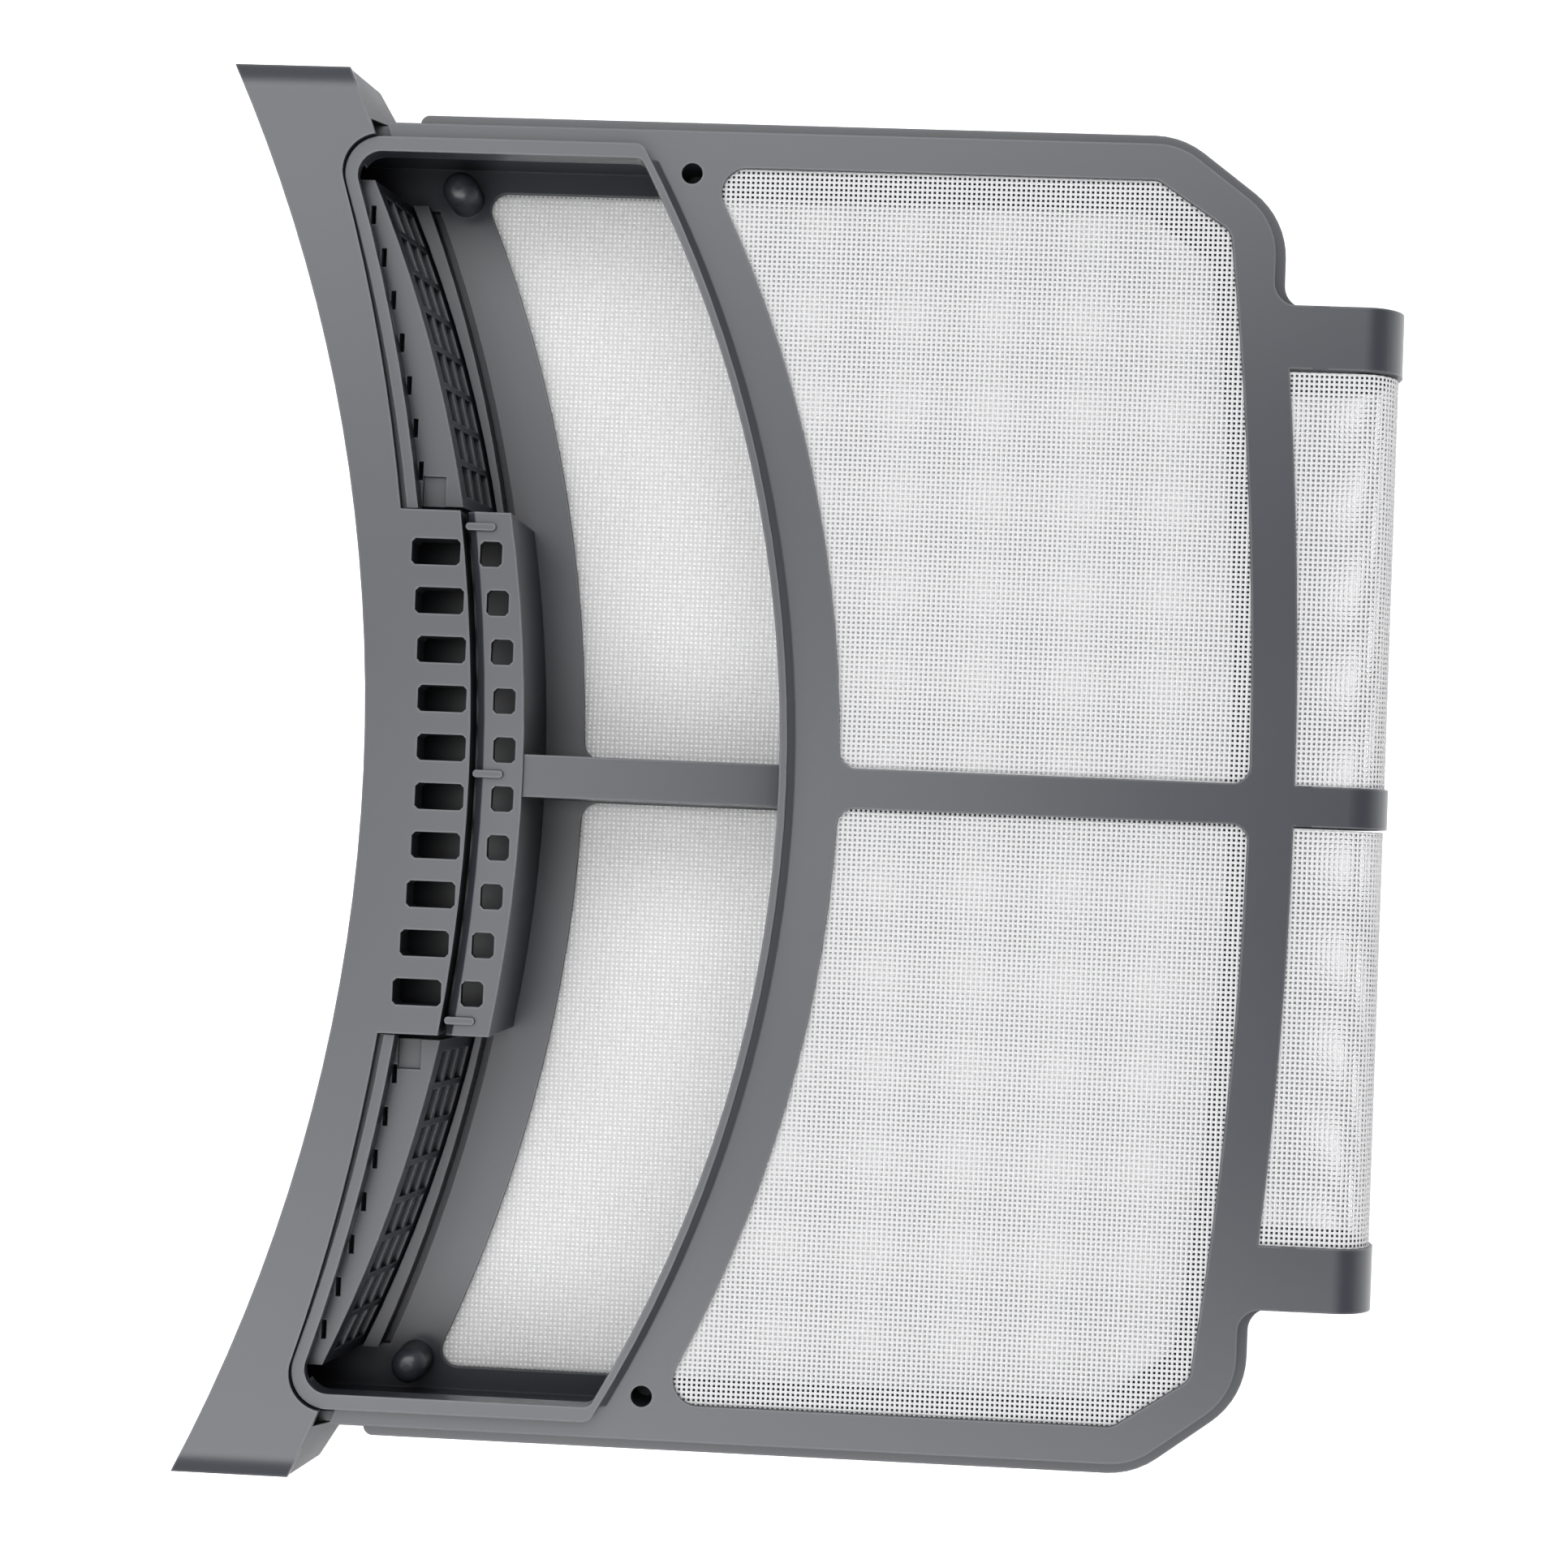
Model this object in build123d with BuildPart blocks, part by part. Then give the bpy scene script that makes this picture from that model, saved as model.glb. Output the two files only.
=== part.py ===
"""Tumble dryer lint filter: two leaves with woven screens that open like a book.

The filter lies on its back leaf. +X runs from the arched handle to the fold,
+Y along the handle, +Z up through the front leaf. Millimetres.
"""

from build123d import *
from math import sqrt
import os

# Overall sizes
handle_length = 280.0
fold_x = 117.75
leaf_width = 260.0
plate = 2.5
leaf_gap = 24.0
wall = 2.0
parting = 0.3

# Arched handle cap: arcs are given as (radius, x of the apex) and bulge towards +X
handle_outer_radius = 320.8
handle_outer_apex = -85.6
handle_band = 21.1
handle_plate = 2.2
handle_base = 30.0
cap_foot = 3.2
shoulder_depth = 8.0
shoulder_draft = 2.1
shoulder_end_reach = 3.1
shoulder_near_reach = 4.4
joint_gap = 0.3

# Tongue with a row of slots in the middle of the handle
tongue_length = 104.0
tongue_depth = 5.0
slot_count = 10
slot_margin = 3.5
slot_bar = 4.5
slot_length = 9.7
slot_corner = 0.7
slot_arc = (342.0, -70.2)
slot_wall = 0.85

# Pocket that the air comes in by, with its raised rim
pocket_margin = 6.4
pocket_left = (383.0, -73.6)
pocket_right = (252.5, -3.2)
pocket_left_round = 4.8
pocket_right_round = 2.0
rim_width = 3.0
rim_left = (374.0, -75.7)
rim_left_round = 7.4
rim_right_round = 2.6
rim_foot = 1.5
rim_rise = 2.2
ramp_foot = 1.5
ramp_rise = 1.6
band_notch = (395.0, -77.0)
rail_width = 6.0
tongue_root_x = -80.5

# Leaf outline
corner_start_x = 71.0
side_x = 90.6
corner_margin = 14.7
corner_round = 14.0
neck_round = 4.4
stile_arc = (945.0, 98.0)
leaf_left = (478.4, -76.0)
wall_start = -106.0
flange = 2.4
flange_thick = 3.0
flange_start = -81.0
flange_round = 1.8
plate_end_x = -87.7
plate_end_slant = 1.6
near = 1.0

# Front windows
window_margin = 7.2
window_left = (257.0, 8.6)
window_right = (854.0, 89.2)
chamfer_start_x = 67.0
chamfer_margin = 17.0
rib_half = 4.0
window_left_round = 5.0
window_round = 3.5
hole_radius = 2.1
hole_x = -25.5
hole_margin = 8.6
boss_wall = 1.4
boss_depth = 9.0
boss_floor = 1.2

# Back windows
back_window_margin = 6.8
back_window_left = (300.0, -45.5)
back_rib_half = 4.6

# Catch on the back leaf, with a row of square holes
catch_top = 31.0
catch_gap = 1.2
catch_right = (300.0, -54.0)
catch_draft = 0.4
catch_bevel = 1.4
catch_bevel_depth = 1.2
catch_length = 104.0
catch_face = 2.0
square_width = 4.4
square_bar = 4.7
square_arc = (219.0, -57.8)
bridge_width = 1.5
bridge_length = 6.0
bridge_rise = 0.6
bridge_margin = 3.0
web_half = 4.2
web_top = 30.6
web_end_x = 2.0
web_end_z = 25.5

# Domed pegs, and the curb and groove between them and the handle
peg_radius = 3.6
peg_height = 11.0
peg_round = 2.8
peg_x = -75.3
peg_margin = 8.4
groove_left = (312.0, -59.0)
groove_width = 1.6
groove_depth = 1.8
curb_rise = 4.5
curb_clearance = 0.4

# Inlet grille under the handle
grille_arc = (287.0, -64.0)
grille_wall = 1.6
grille_lean = 3.6
grille_foot = 4.5
grille_margin = 4.6
grille_gap = 1.4
ledge_thick = 1.8
ledge_tuck = 1.6
notch_count = 7
notch_margin = 2.8
notch_bar = 4.8
notch_width = 1.0
pad_length = 6.0
pad_width = 4.6
pad_depth = 0.8
grid_rows = 8
grid_columns = 3
grid_margin = 1.9
grid_height = 4.3
grid_bar = 1.3

# Screens
screen_thick = 0.6
screen_bite = 2.5
gap_size = 3.0
gap_pitch_x = 40.0
gap_pitch_y = 38.0
gap_margin = 2.0
ridge_width = 0.5
ridge_rise = 0.2

# Fold: straps and screen that go round from one leaf to the other
strap_width = 12.6
strap_margin = 37.6
centre_strap_width = 8.0
strap_thick = 1.6
strap_root_x = 100.0
fold_screen_start = 92.5
strap_bend = 9.0
fold_screen_inset = 0.5
fold_clearance = 0.15
fold_gap_pitch = 20.0
fold_gap_count = 4
fold_gap_length = 3.0


def moved(arc, dx):
    """The same arc, moved along X."""
    return (arc[0], arc[1] + dx)


# Levels worked out from the sizes above
front_top = 2 * plate + leaf_gap
front_base = front_top - plate
rim_top = front_top + rim_rise
ledge_top = front_base - joint_gap
outline_half = leaf_width / 2
pocket_half = outline_half - pocket_margin
rim_half = pocket_half + rim_width
window_half = outline_half - window_margin
back_window_half = outline_half - back_window_margin
corner_end_y = outline_half - corner_margin
chamfer_end_y = outline_half - chamfer_margin
hole_y = outline_half - hole_margin
peg_y = outline_half - peg_margin
grille_end = pocket_half - grille_margin
grille_start = tongue_length / 2 + grille_gap
strap_y = outline_half - strap_margin
half_tongue = tongue_length / 2
half_catch = catch_length / 2
front_screen_z = front_top - plate / 2 - screen_thick / 2
back_screen_z = plate / 2 - screen_thick / 2
tray_height = front_base - parting
handle_outer = (handle_outer_radius, handle_outer_apex)
handle_inner = (handle_outer_radius + handle_band, handle_outer_apex + handle_band)
cap_inner = (handle_outer_radius + wall, handle_outer_apex + wall)
rim_right = (pocket_right[0] + rim_foot, pocket_right[1] + rim_foot)
rail_left = (rim_left[0], rim_left[1] - rail_width)
catch_left = (handle_inner[0] + catch_gap, handle_inner[1] + catch_gap)
strap_outer_y = strap_y + strap_width / 2
strap_inner_y = strap_y - strap_width / 2
centre_strap_half = centre_strap_width / 2
shoulder_start = outline_half + joint_gap
ledge_left = (pocket_left[0], pocket_left[1] - ledge_tuck)
ledge_span = grille_end - grille_start
notch_pitch = (ledge_span - 2 * notch_margin) / notch_count
grid_pitch = (ledge_span - 2 * grid_margin) / grid_rows
grid_top = ledge_top - ledge_thick - grid_bar
tongue_width = handle_inner[1] - tongue_root_x
tongue_left = (slot_arc[0], slot_arc[1] - slot_length / 2 - slot_wall)
slot_pitch = (tongue_length - 2 * slot_margin) / slot_count
square_pitch = (catch_length - 2 * slot_margin) / slot_count
bridge_y = half_catch - bridge_margin
curb_left = (grille_arc[0], grille_arc[1] + grille_lean + curb_clearance)


def arch_x(arc, y):
    """X of an arc that bulges towards +X, at a given Y."""
    radius, apex = arc
    return apex - radius + sqrt(radius**2 - y**2)


def row_of(count, pitch):
    """Evenly spaced places, centred on zero."""
    return [(i - (count - 1) / 2) * pitch for i in range(count)]


def arch_points(arc, low, high):
    """Start, middle and end of an arc between two heights."""
    return [(arch_x(arc, y), y) for y in (low, (low + high) / 2, high)]


def arch_face(left, right, low, high):
    """Face between two arcs, from Y = low to Y = high."""
    left_points = arch_points(left, low, high)
    right_points = arch_points(right, high, low)
    with BuildSketch(mode=Mode.PRIVATE) as face:
        with BuildLine():
            ThreePointArc(*left_points)
            Line(left_points[-1], right_points[0])
            ThreePointArc(*right_points)
            Line(right_points[-1], left_points[0])
        make_face()
    return face.sketch


def pair_of(sketch):
    """A sketch and its mirror image on the other side of the handle's middle."""
    with BuildSketch(mode=Mode.PRIVATE) as pair:
        add(sketch)
        mirror(about=Plane.XZ)
    return pair.sketch


def rounded_arch(left, right, half, left_round, right_round):
    """Face between two arcs, with one rounding at its left corners and one at its right."""
    with BuildSketch(mode=Mode.PRIVATE) as face:
        add(arch_face(left, right, -half, half))
        corners = face.vertices().sort_by(Axis.X)
        fillet(corners[:2], left_round)
        corners = face.vertices().sort_by(Axis.X)
        fillet(corners[-2:], right_round)
    return face.sketch


def leaf_face(left, inset=0):
    """Outline of a leaf from an arched side to its stile, with cut and rounded far corners."""
    half = outline_half
    near_side = arch_points(left, -half, half)
    with BuildSketch(mode=Mode.PRIVATE) as face:
        with BuildLine():
            Polyline(
                near_side[-1],
                (corner_start_x, half),
                (side_x, corner_end_y),
                (side_x, strap_outer_y),
                (strap_root_x, strap_outer_y),
                (strap_root_x, -strap_outer_y),
                (side_x, -strap_outer_y),
                (side_x, -corner_end_y),
                (corner_start_x, -half),
                near_side[0],
            )
            ThreePointArc(*near_side)
        make_face()
        far = face.vertices().filter_by(lambda v: v.X > corner_start_x - near)
        fillet(far.filter_by(lambda v: abs(v.Y) > corner_end_y - near), corner_round)
        necks = face.vertices().filter_by(lambda v: abs(v.X - side_x) < near)
        fillet(necks.filter_by(lambda v: abs(abs(v.Y) - strap_outer_y) < near), neck_round)
        add(pair_of(beyond_stile()), mode=Mode.SUBTRACT)
        if inset:
            offset(amount=-inset)
    return face.sketch


def beyond_stile():
    """What lies past the bowed stile, between the centre strap and an outer strap."""
    points = arch_points(stile_arc, centre_strap_half, strap_inner_y)
    past = strap_root_x + wall
    with BuildSketch(mode=Mode.PRIVATE) as face:
        with BuildLine():
            ThreePointArc(*points)
            Polyline(points[-1], (past, strap_inner_y), (past, centre_strap_half), points[0])
        make_face()
    return face.sketch


def plate_corner():
    """Slanted piece cut off the front plate's near corner, beside the handle band."""
    past = outline_half + near
    with BuildSketch(mode=Mode.PRIVATE) as face:
        with BuildLine():
            Polyline(
                (plate_end_x, past),
                (plate_end_x + plate_end_slant, rim_half),
                (handle_outer_apex - handle_band, rim_half),
                (handle_outer_apex - handle_band, past),
                close=True,
            )
        make_face()
    return face.sketch


def band_cutout():
    """What the handle band leaves free for the rim, on each side of the tongue."""
    half = rim_half + joint_gap
    with BuildSketch(mode=Mode.PRIVATE) as face:
        add(rounded_arch(band_notch, rim_right, half, rim_left_round, rim_right_round))
        Rectangle(leaf_width, tongue_length, mode=Mode.SUBTRACT)
    return face.sketch


def window_face(left, half, rib, left_round, grow=0):
    """The two windows of a leaf, or one larger sharp-cornered face that covers both."""
    left_points = arch_points(moved(left, -grow), rib, half + grow)
    right_points = arch_points(moved(window_right, grow), chamfer_end_y + grow / 2, rib)
    with BuildSketch(mode=Mode.PRIVATE) as face:
        with BuildLine():
            ThreePointArc(*left_points)
            Polyline(left_points[-1], (chamfer_start_x + grow / 2, half + grow), right_points[0])
            ThreePointArc(*right_points)
            Line(right_points[-1], left_points[0])
        make_face()
        if not grow:
            fillet(face.vertices().sort_by(Axis.X)[:1], left_round)
            fillet(face.vertices().sort_by(Axis.X)[2:], window_round)
        mirror(about=Plane.XZ)
    return face.sketch


def side_strips(outset, inset, start, start_round=0):
    """Strips along the two long sides and round the far corners, from a given X onwards."""
    with BuildSketch(mode=Mode.PRIVATE) as strips:
        add(leaf_face(handle_outer, inset=-outset))
        add(leaf_face(handle_outer, inset=inset), mode=Mode.SUBTRACT)
        Rectangle(2 * leaf_width, 2 * (strap_outer_y + neck_round), mode=Mode.SUBTRACT)
        with Locations((corner_start_x - leaf_width, 0)):
            Rectangle(2 * leaf_width, leaf_width - 2 * inset, mode=Mode.SUBTRACT)
        with Locations((start - leaf_width, 0)):
            Rectangle(2 * leaf_width, 2 * leaf_width, mode=Mode.SUBTRACT)
        if start_round:
            ends = strips.vertices().filter_by(lambda v: v.X < start + near)
            fillet(ends.filter_by(lambda v: abs(v.Y) > outline_half + near), start_round)
    return strips.sketch


def neck_strips(outset, inset):
    """Ends of the flange, which go on round the necks as far as the outer straps."""
    past = strap_outer_y + neck_round + leaf_width
    with BuildSketch(mode=Mode.PRIVATE) as strips:
        add(leaf_face(handle_outer).moved(Location((outset, 0))))
        add(leaf_face(handle_outer, inset=inset), mode=Mode.SUBTRACT)
        Rectangle(2 * leaf_width, 2 * (strap_outer_y + joint_gap), mode=Mode.SUBTRACT)
        with Locations((0, past), (0, -past)):
            Rectangle(2 * leaf_width, 2 * leaf_width, mode=Mode.SUBTRACT)
    return strips.sketch


def gap_spots(left, half, rib):
    """Centres of the gaps that fall inside the windows, row by row."""
    room = gap_margin + gap_size
    rows = []
    y = rib + room
    while y < half - room:
        low = arch_x(left, y + gap_size) + room
        high = min(arch_x(window_right, y), chamfer_start_x + half - y) - room
        steps = max(1, round((high - low) / gap_pitch_x))
        rows.append([(low + i * (high - low) / steps, y) for i in range(steps + 1)])
        y += gap_pitch_y
    return rows


def screen(left, half, rib, bottom):
    """A sheet with a coarse pattern of gaps, and raised threads beside them."""
    rows = gap_spots(left, half, rib)
    with BuildSketch(Plane.XY.offset(bottom)) as sheet:
        add(window_face(left, half, 0, 0, grow=screen_bite))
        for row in rows:
            with Locations(*row, *[(x, -y) for x, y in row]):
                Rectangle(gap_size, gap_size, mode=Mode.SUBTRACT)
    extrude(sheet.sketch, amount=screen_thick)
    with BuildSketch(Plane.XY.offset(bottom + screen_thick)) as ridges:
        for row in rows:
            middle = (row[0][0] + row[-1][0]) / 2
            height = row[0][1] + gap_size
            with Locations((middle, height), (middle, -height)):
                Rectangle(row[-1][0] - row[0][0], ridge_width)
    extrude(ridges.sketch, amount=ridge_rise)


def fold_profile(inset, thickness, start_x):
    """Section of the fold: out from the front leaf, round and back to the back leaf."""
    with BuildSketch(mode=Mode.PRIVATE) as face:
        for side, mode in ((inset, Mode.ADD), (inset + thickness, Mode.SUBTRACT)):
            with BuildSketch(mode=Mode.PRIVATE) as turn:
                with Locations(((start_x + fold_x - side) / 2, front_top / 2)):
                    Rectangle(fold_x - side - start_x, front_top - 2 * side)
                fillet(turn.vertices().sort_by(Axis.X)[-2:], strap_bend - side)
            add(turn.sketch, mode=mode)
    return face.sketch


def shoulder(side):
    """Drafted block under one end of the handle band, which meets the leaf's corner."""
    top_end = handle_length / 2
    foot_end = top_end - shoulder_draft
    levels = (
        (handle_base, top_end, 0, 0),
        (handle_base - shoulder_depth, foot_end, shoulder_end_reach, shoulder_near_reach),
    )
    sections = []
    for level, end, end_reach, near_reach in levels:
        corners = [
            (arch_x(cap_inner, shoulder_start) - wall / 2, side * shoulder_start),
            (arch_x(cap_inner, end) - wall / 2, side * end),
            (arch_x(handle_inner, end) + end_reach, side * end),
            (arch_x(handle_inner, shoulder_start) + near_reach, side * shoulder_start),
        ]
        with BuildSketch(Plane.XY.offset(level)) as section:
            with BuildLine():
                Polyline(*corners, close=True)
            make_face()
        sections.append(section.sketch)
    loft(sections)


def leaning_wall(low, high):
    """One side of the slotted wall, which leans out towards its foot."""
    sections = []
    for level, lean in ((grille_foot, grille_lean), (ledge_top, 0)):
        right = moved(grille_arc, lean)
        with BuildSketch(Plane.XY.offset(level)) as section:
            add(arch_face(moved(right, -grille_wall), right, low, high))
        sections.append(section.sketch)
    loft(sections, ruled=True)


def grid_spots(side):
    """Centres of the grille's slots, on the leaning wall."""
    spots = []
    for row in row_of(grid_rows, grid_pitch):
        y = (grille_start + grille_end) / 2 + row
        for column in range(grid_columns):
            z = grid_top - grid_height / 2 - column * (grid_height + grid_bar)
            lean = grille_lean * (ledge_top - z) / (ledge_top - grille_foot)
            spots.append((arch_x(grille_arc, y) + lean - grille_wall / 2, side * y, z))
    return spots


def catch_block(inset, mode):
    """The catch as a block with a drafted far side, smaller by inset and open to the handle."""
    half = half_catch - inset
    sections = []
    levels = (
        (plate, 0, catch_draft),
        (catch_top - catch_bevel_depth - inset, 0, 0),
        (catch_top - inset, catch_bevel, 0),
    )
    for level, bevel, draft in levels:
        left = moved(catch_left, bevel - 2 * inset)
        with BuildSketch(Plane.XY.offset(level)) as section:
            add(arch_face(left, moved(catch_right, draft - inset), -half, half))
        sections.append(section.sketch)
    loft(sections, ruled=True, mode=mode)


def web_profile(inset):
    """Side view of the centre web, which slopes down to pass under the arched bar."""
    start = catch_right[1] - wall
    with BuildSketch(Plane.XZ) as profile:
        with BuildLine():
            Polyline(
                (start + 2 * inset, plate),
                (start + 2 * inset, web_top - inset),
                (web_end_x + inset, web_end_z - inset),
                (web_end_x + inset, plate),
                close=True,
            )
        make_face()
    return profile.sketch


def hole_row(arc, length, pitch, bar):
    """A row of holes with cut corners and bars between them, along an arc."""
    with BuildSketch(mode=Mode.PRIVATE) as row:
        with Locations(*[(arch_x(arc, y), y) for y in row_of(slot_count, pitch)]):
            Rectangle(length, pitch - bar)
        chamfer(row.vertices(), slot_corner)
    return row.sketch


def ramp():
    """Slope on the arched bar, from the top of the rim down to the plate."""
    sections = []
    for level, foot in ((front_top, ramp_foot), (front_top + ramp_rise, 0)):
        with BuildSketch(Plane.XY.offset(level)) as section:
            add(arch_face(pocket_right, moved(rim_right, foot), -pocket_half, pocket_half))
        sections.append(section.sketch)
    loft(sections, ruled=True)


def strap(centre_y, width):
    """One strap of the fold."""
    with BuildPart() as part:
        with BuildSketch(Plane.XZ.offset(-centre_y)):
            add(fold_profile(0, strap_thick, strap_root_x))
        extrude(amount=width / 2, both=True)
    return part


# Front screen, moulded into the front leaf, clear of its two holes
with BuildPart() as front_screen:
    screen(window_left, window_half, rib_half, front_screen_z)
    with Locations((hole_x, hole_y, front_screen_z), (hole_x, -hole_y, front_screen_z)):
        Cylinder(hole_radius + wall / 2, plate, mode=Mode.SUBTRACT)

# Back screen, moulded into the back leaf
with BuildPart() as back_screen:
    screen(back_window_left, back_window_half, back_rib_half, back_screen_z)

# Front leaf: plate, rim of the pocket, arched bar, bosses and windows
with BuildPart() as front_frame:
    with BuildSketch(Plane.XY.offset(front_base)):
        add(leaf_face(leaf_left))
        add(pair_of(plate_corner()), mode=Mode.SUBTRACT)
        add(arch_face(rail_left, moved(rail_left, rail_width + wall), -rim_half, rim_half))
    extrude(amount=plate)
    with BuildSketch(Plane.XY.offset(front_top)):
        add(arch_face(rail_left, moved(rim_left, wall), -rim_half, rim_half))
    extrude(amount=handle_base - front_top)
    with BuildSketch(Plane.XY.offset(front_top)):
        add(rounded_arch(rim_left, rim_right, rim_half, rim_left_round, rim_right_round))
    extrude(amount=rim_rise)
    ramp()
    with Locations((hole_x, hole_y, front_base), (hole_x, -hole_y, front_base)):
        boss_align = (Align.CENTER, Align.CENTER, Align.MAX)
        Cylinder(hole_radius + boss_wall, boss_depth, align=boss_align)
    with BuildSketch(Plane.XY.offset(front_base)):
        add(rounded_arch(pocket_left, pocket_right, pocket_half, pocket_left_round, pocket_right_round))
        with Locations((tongue_root_x + tongue_width, 0)):
            Rectangle(2 * tongue_width, tongue_length + 2 * joint_gap)
    extrude(amount=rim_top, mode=Mode.SUBTRACT)
    with BuildSketch(Plane.XY.offset(handle_base)):
        with Locations((tongue_root_x, 0)):
            Rectangle(2 * tongue_width, tongue_length + 2 * joint_gap)
    extrude(amount=rim_rise, mode=Mode.SUBTRACT)
    with BuildSketch(Plane.XY.offset(front_base)):
        add(window_face(window_left, window_half, rib_half, window_left_round))
    extrude(amount=plate, mode=Mode.SUBTRACT)
    with BuildSketch(Plane.XY.offset(front_base - boss_depth + boss_floor)):
        with Locations((hole_x, hole_y), (hole_x, -hole_y)):
            Circle(hole_radius)
    extrude(amount=boss_depth - boss_floor + plate, mode=Mode.SUBTRACT)
    add(front_screen.part, mode=Mode.SUBTRACT)

# Handle cap: arched band, tongue with slots, concave wall and drafted shoulders
with BuildPart() as handle_bezel:
    with BuildSketch(Plane.XY.offset(handle_base)):
        add(arch_face(handle_outer, handle_inner, -handle_length / 2, handle_length / 2))
        add(band_cutout(), mode=Mode.SUBTRACT)
    extrude(amount=handle_plate)
    with BuildSketch(Plane.XY.offset(handle_base - tongue_depth)):
        add(arch_face(tongue_left, handle_inner, -half_tongue, half_tongue))
    extrude(amount=tongue_depth)
    with BuildSketch(Plane.XY.offset(handle_base - tongue_depth)):
        add(hole_row(slot_arc, slot_length, slot_pitch, slot_bar))
    extrude(amount=tongue_depth + handle_plate, mode=Mode.SUBTRACT)
    with BuildSketch(Plane.XY.offset(cap_foot)):
        add(arch_face(handle_outer, cap_inner, -handle_length / 2, handle_length / 2))
    extrude(amount=handle_base - cap_foot)
    for side in (1, -1):
        shoulder(side)

# Inlet grille: a ledge with snap notches and a slotted wall on each side of the tongue
with BuildPart() as inlet_grille:
    with BuildSketch(Plane.XY.offset(ledge_top - ledge_thick)):
        add(pair_of(arch_face(ledge_left, grille_arc, grille_start, grille_end)))
        for y in row_of(notch_count, notch_pitch):
            place = (grille_start + grille_end) / 2 + y
            notch_x = arch_x(pocket_left, place) + notch_width / 2
            with Locations((notch_x, place), (notch_x, -place)):
                Rectangle(notch_width, notch_pitch - notch_bar, mode=Mode.SUBTRACT)
    extrude(amount=ledge_thick)
    with BuildSketch(Plane.XY.offset(ledge_top - pad_depth)):
        pad_x = arch_x(pocket_left, grille_start) + pad_width / 2
        with Locations((pad_x, grille_start), (pad_x, -grille_start)):
            Rectangle(pad_width, 2 * pad_length)
    extrude(amount=pad_depth, mode=Mode.SUBTRACT)
    for side in (1, -1):
        leaning_wall(*sorted((side * grille_start, side * grille_end)))
        with Locations(*grid_spots(side)):
            Box(grid_pitch - grid_bar, grid_pitch - grid_bar, grid_height, mode=Mode.SUBTRACT)

# Domed peg, of which the back leaf has two
with BuildPart() as peg:
    Cylinder(peg_radius, peg_height, align=(Align.CENTER, Align.CENTER, Align.MIN))
    fillet(peg.edges().sort_by(Axis.Z)[-1:], peg_round)

# Back leaf: tray, flange, groove, curb, windows, pegs, centre web and catch
with BuildPart() as back_frame:
    with BuildSketch():
        add(leaf_face(handle_outer))
    extrude(amount=plate)
    with BuildSketch():
        add(side_strips(0, wall, wall_start))
    extrude(amount=tray_height)
    with BuildSketch(Plane.XY.offset(tray_height - flange_thick)):
        add(side_strips(flange, wall / 2, flange_start, flange_round))
        add(neck_strips(flange, wall / 2))
    extrude(amount=flange_thick)
    with BuildSketch(Plane.XY.offset(plate - groove_depth)):
        groove_right = moved(groove_left, groove_width)
        add(pair_of(arch_face(groove_left, groove_right, half_catch + near, grille_end)))
    extrude(amount=groove_depth, mode=Mode.SUBTRACT)
    with BuildSketch(Plane.XY.offset(plate)):
        add(pair_of(arch_face(curb_left, groove_left, half_catch + near, grille_end)))
    extrude(amount=curb_rise)
    with BuildSketch():
        add(window_face(back_window_left, back_window_half, back_rib_half, window_round))
    extrude(amount=plate, mode=Mode.SUBTRACT)
    add(back_screen.part, mode=Mode.SUBTRACT)
    with Locations((peg_x, peg_y, plate), (peg_x, -peg_y, plate)):
        add(peg.part)
    catch_block(0, Mode.ADD)
    extrude(web_profile(0), amount=web_half, both=True)
    catch_block(catch_face, Mode.SUBTRACT)
    extrude(web_profile(wall), amount=web_half - wall, both=True, mode=Mode.SUBTRACT)
    with BuildSketch(Plane.XY.offset(catch_top - catch_face)):
        add(hole_row(square_arc, square_width, square_pitch, square_bar))
    extrude(amount=catch_face, mode=Mode.SUBTRACT)
    with BuildSketch(Plane.XY.offset(catch_top)):
        for y in (-bridge_y, 0, bridge_y):
            with Locations((arch_x(catch_left, y) + (bridge_length - catch_gap) / 2, y)):
                SlotOverall(bridge_length, bridge_width)
    extrude(amount=bridge_rise)

# Screen round the fold, between the straps
with BuildPart() as hinge_screen:
    panel_middle = (centre_strap_half + strap_inner_y) / 2
    panel_width = strap_inner_y - centre_strap_half
    for side in (1, -1):
        with BuildSketch(Plane.XZ.offset(-side * panel_middle)):
            add(fold_profile(fold_screen_inset, screen_thick, fold_screen_start))
        extrude(amount=panel_width / 2, both=True)
    with BuildSketch():
        add(leaf_face(leaf_left, inset=-fold_clearance))
        Rectangle(2 * fold_x, centre_strap_width, mode=Mode.SUBTRACT)
        with Locations((0, strap_y), (0, -strap_y)):
            Rectangle(2 * fold_x, strap_width, mode=Mode.SUBTRACT)
    extrude(amount=front_top, mode=Mode.SUBTRACT)
    for y in row_of(fold_gap_count, fold_gap_pitch):
        for centre in (panel_middle, -panel_middle):
            with Locations((fold_x, centre + y, front_top / 2)):
                Box(strap_bend, fold_gap_length, fold_gap_length, mode=Mode.SUBTRACT)

hinge_strap_upper = strap(strap_y, strap_width)
hinge_strap_centre = strap(0, centre_strap_width)
hinge_strap_lower = strap(-strap_y, strap_width)

pieces = {
    "front_frame": front_frame,
    "front_screen": front_screen,
    "handle_bezel": handle_bezel,
    "inlet_grille": inlet_grille,
    "back_frame": back_frame,
    "back_screen": back_screen,
    "hinge_screen": hinge_screen,
    "hinge_strap_upper": hinge_strap_upper,
    "hinge_strap_centre": hinge_strap_centre,
    "hinge_strap_lower": hinge_strap_lower,
}

os.makedirs("parts", exist_ok=True)
for name, piece in pieces.items():
    piece.part.label = name
    export_step(piece.part, f"parts/{name}.step")
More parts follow.
